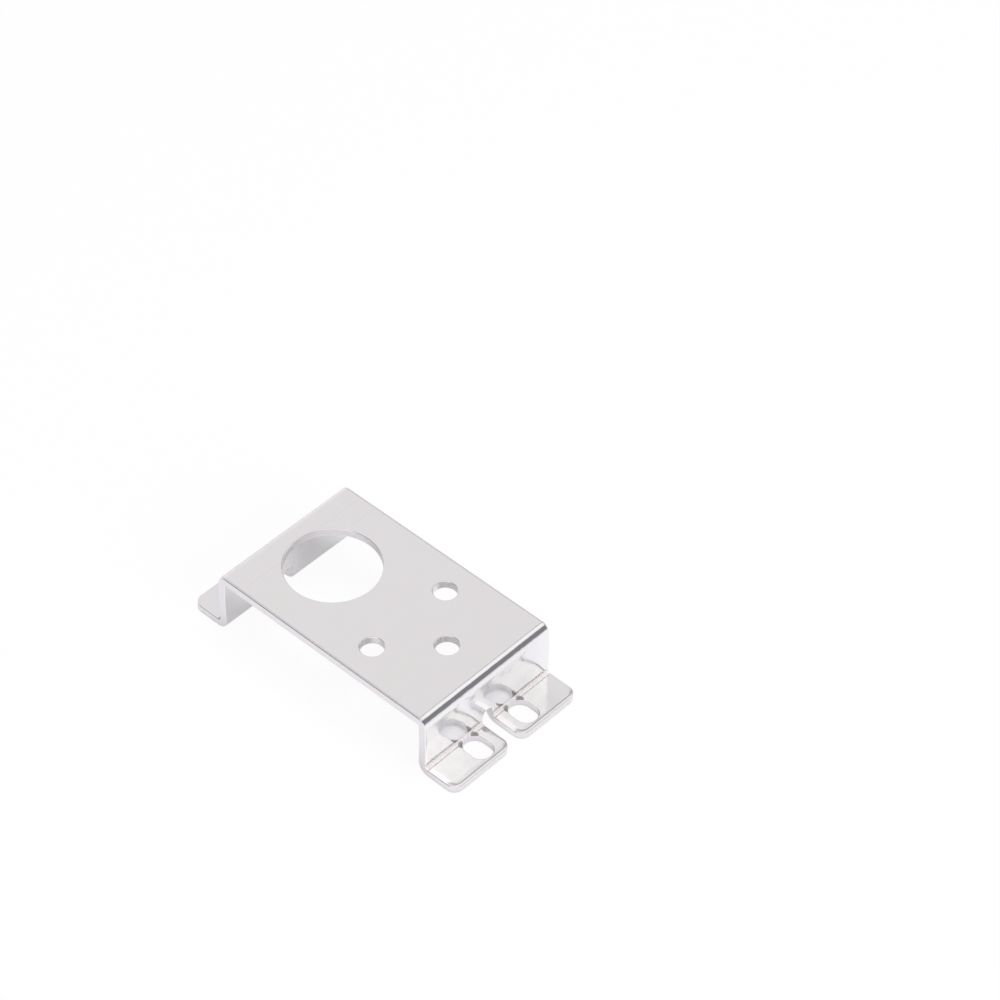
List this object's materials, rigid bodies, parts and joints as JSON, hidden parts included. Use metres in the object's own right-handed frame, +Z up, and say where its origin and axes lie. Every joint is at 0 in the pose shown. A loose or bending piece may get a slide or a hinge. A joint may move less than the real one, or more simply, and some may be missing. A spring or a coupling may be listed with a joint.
{
  "type": "motor mounting bracket",
  "caption": "Folded sheet-metal bracket: a raised plate bored for a small gear motor, on legs whose split, slotted feet turn outward for bolting down.",
  "frame": {"origin": "middle of the part on the plane of the feet's undersides", "axes": "+X along the length, from the large hole's end towards the screw holes' end, +Y across the width, +Z up from the feet to the plate"},
  "size_m": [0.0772, 0.0376, 0.016],
  "materials": {
    "plated_sheet": "bright, near-mirror plated steel sheet with faint tooling lines"
  },
  "bodies": {
    "root": {"bracket": "plated_sheet"}
  },
  "joints": []
}
